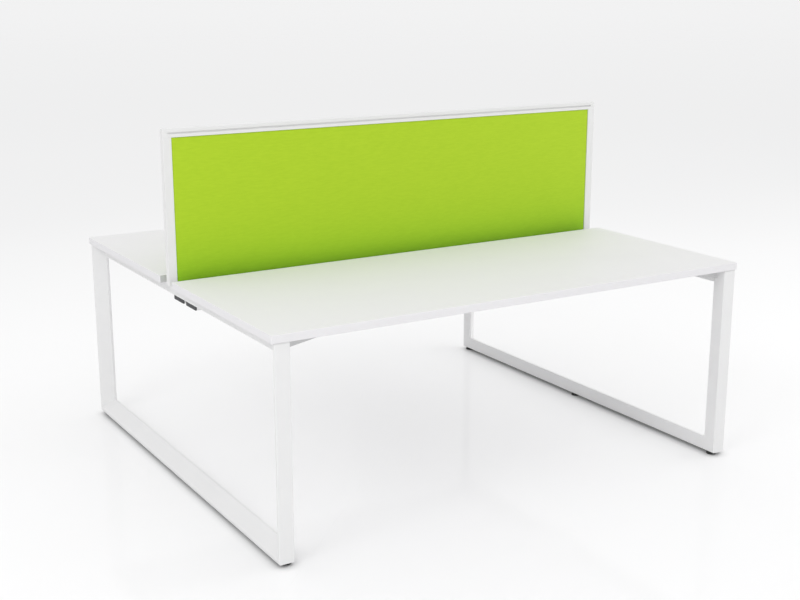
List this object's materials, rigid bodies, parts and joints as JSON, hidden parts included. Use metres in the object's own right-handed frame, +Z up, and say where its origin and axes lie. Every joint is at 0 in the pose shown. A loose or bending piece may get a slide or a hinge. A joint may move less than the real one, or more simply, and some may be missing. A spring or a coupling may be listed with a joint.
{
  "type": "benching desk",
  "caption": "White back-to-back benching desk: worktops on bevelled loop legs, with a lime green fabric screen between them and cable channels below.",
  "frame": {"origin": "on the floor, below the middle of the desk", "axes": "+X along the worktops and the screen, +Y from the near worktop to the far one, +Z up"},
  "size_m": [1.8, 1.61, 1.205],
  "materials": {
    "white_board": "white melamine faced board, satin",
    "white_paint": "white powder coat, satin",
    "grey_paint": "pale grey powder coat, satin",
    "dark_paint": "dark grey powder coat, matt",
    "grey_plastic": "light grey moulded plastic",
    "white_plastic": "white moulded plastic",
    "black_plastic": "black moulded plastic",
    "zinc_steel": "zinc plated steel",
    "screen_frame": "extruded aluminium, white powder coat",
    "core_board": "raw fibreboard",
    "lime_fabric": "lime green ribbed upholstery cloth, stretched over the core"
  },
  "bodies": {
    "frame": {"bracket_left_far": "grey_paint", "bracket_left_near": "grey_paint", "bracket_right_far": "grey_paint", "bracket_right_near": "grey_paint", "cable_channel_far": "white_paint", "cable_channel_near": "white_paint", "channel_end_left_far": "dark_paint", "channel_end_left_near": "dark_paint", "channel_end_right_far": "dark_paint", "channel_end_right_near": "dark_paint", "floor_rail_left": "white_paint", "floor_rail_right": "white_paint", "foot_bush_left_far": "zinc_steel", "foot_bush_left_middle": "zinc_steel", "foot_bush_left_near": "zinc_steel", "foot_bush_right_far": "zinc_steel", "foot_bush_right_middle": "zinc_steel", "foot_bush_right_near": "zinc_steel", "leg_cap_left_far": "grey_plastic", "leg_cap_left_near": "grey_plastic", "leg_cap_right_far": "grey_plastic", "leg_cap_right_near": "grey_plastic", "leg_left_far": "white_paint", "leg_left_near": "white_paint", "leg_right_far": "white_paint", "leg_right_near": "white_paint", "rail_pad_left_far": "black_plastic", "rail_pad_left_near": "black_plastic", "rail_pad_right_far": "black_plastic", "rail_pad_right_near": "black_plastic", "screen_core": "core_board", "screen_fabric_far": "lime_fabric", "screen_fabric_near": "lime_fabric", "screen_head_rail": "screen_frame", "screen_post_cap_left": "white_plastic", "screen_post_cap_right": "white_plastic", "screen_post_left": "screen_frame", "screen_post_right": "screen_frame", "screen_saddle_left": "dark_paint", "screen_saddle_middle": "dark_paint", "screen_saddle_right": "dark_paint", "screen_sill_rail": "screen_frame", "top_rail_left": "white_paint", "top_rail_right": "white_paint", "worktop_far": "white_board", "worktop_near": "white_board", "worktop_screw_left_far_1": "zinc_steel", "worktop_screw_left_far_2": "zinc_steel", "worktop_screw_left_near_1": "zinc_steel", "worktop_screw_left_near_2": "zinc_steel", "worktop_screw_right_far_1": "zinc_steel", "worktop_screw_right_far_2": "zinc_steel", "worktop_screw_right_near_1": "zinc_steel", "worktop_screw_right_near_2": "zinc_steel"},
    "foot_left_near": {"foot_left_near": "black_plastic"},
    "foot_left_middle": {"foot_left_middle": "black_plastic"},
    "foot_left_far": {"foot_left_far": "black_plastic"},
    "foot_right_near": {"foot_right_near": "black_plastic"},
    "foot_right_middle": {"foot_right_middle": "black_plastic"},
    "foot_right_far": {"foot_right_far": "black_plastic"}
  },
  "joints": [
    {"name": "foot_left_near_level", "type": "slide", "parent": "frame", "child": "foot_left_near", "axis": [0, 0, -1], "range_m": [0, 0.012]},
    {"name": "foot_left_middle_level", "type": "slide", "parent": "frame", "child": "foot_left_middle", "axis": [0, 0, -1], "range_m": [0, 0.012]},
    {"name": "foot_left_far_level", "type": "slide", "parent": "frame", "child": "foot_left_far", "axis": [0, 0, -1], "range_m": [0, 0.012]},
    {"name": "foot_right_near_level", "type": "slide", "parent": "frame", "child": "foot_right_near", "axis": [0, 0, -1], "range_m": [0, 0.012]},
    {"name": "foot_right_middle_level", "type": "slide", "parent": "frame", "child": "foot_right_middle", "axis": [0, 0, -1], "range_m": [0, 0.012]},
    {"name": "foot_right_far_level", "type": "slide", "parent": "frame", "child": "foot_right_far", "axis": [0, 0, -1], "range_m": [0, 0.012]}
  ]
}
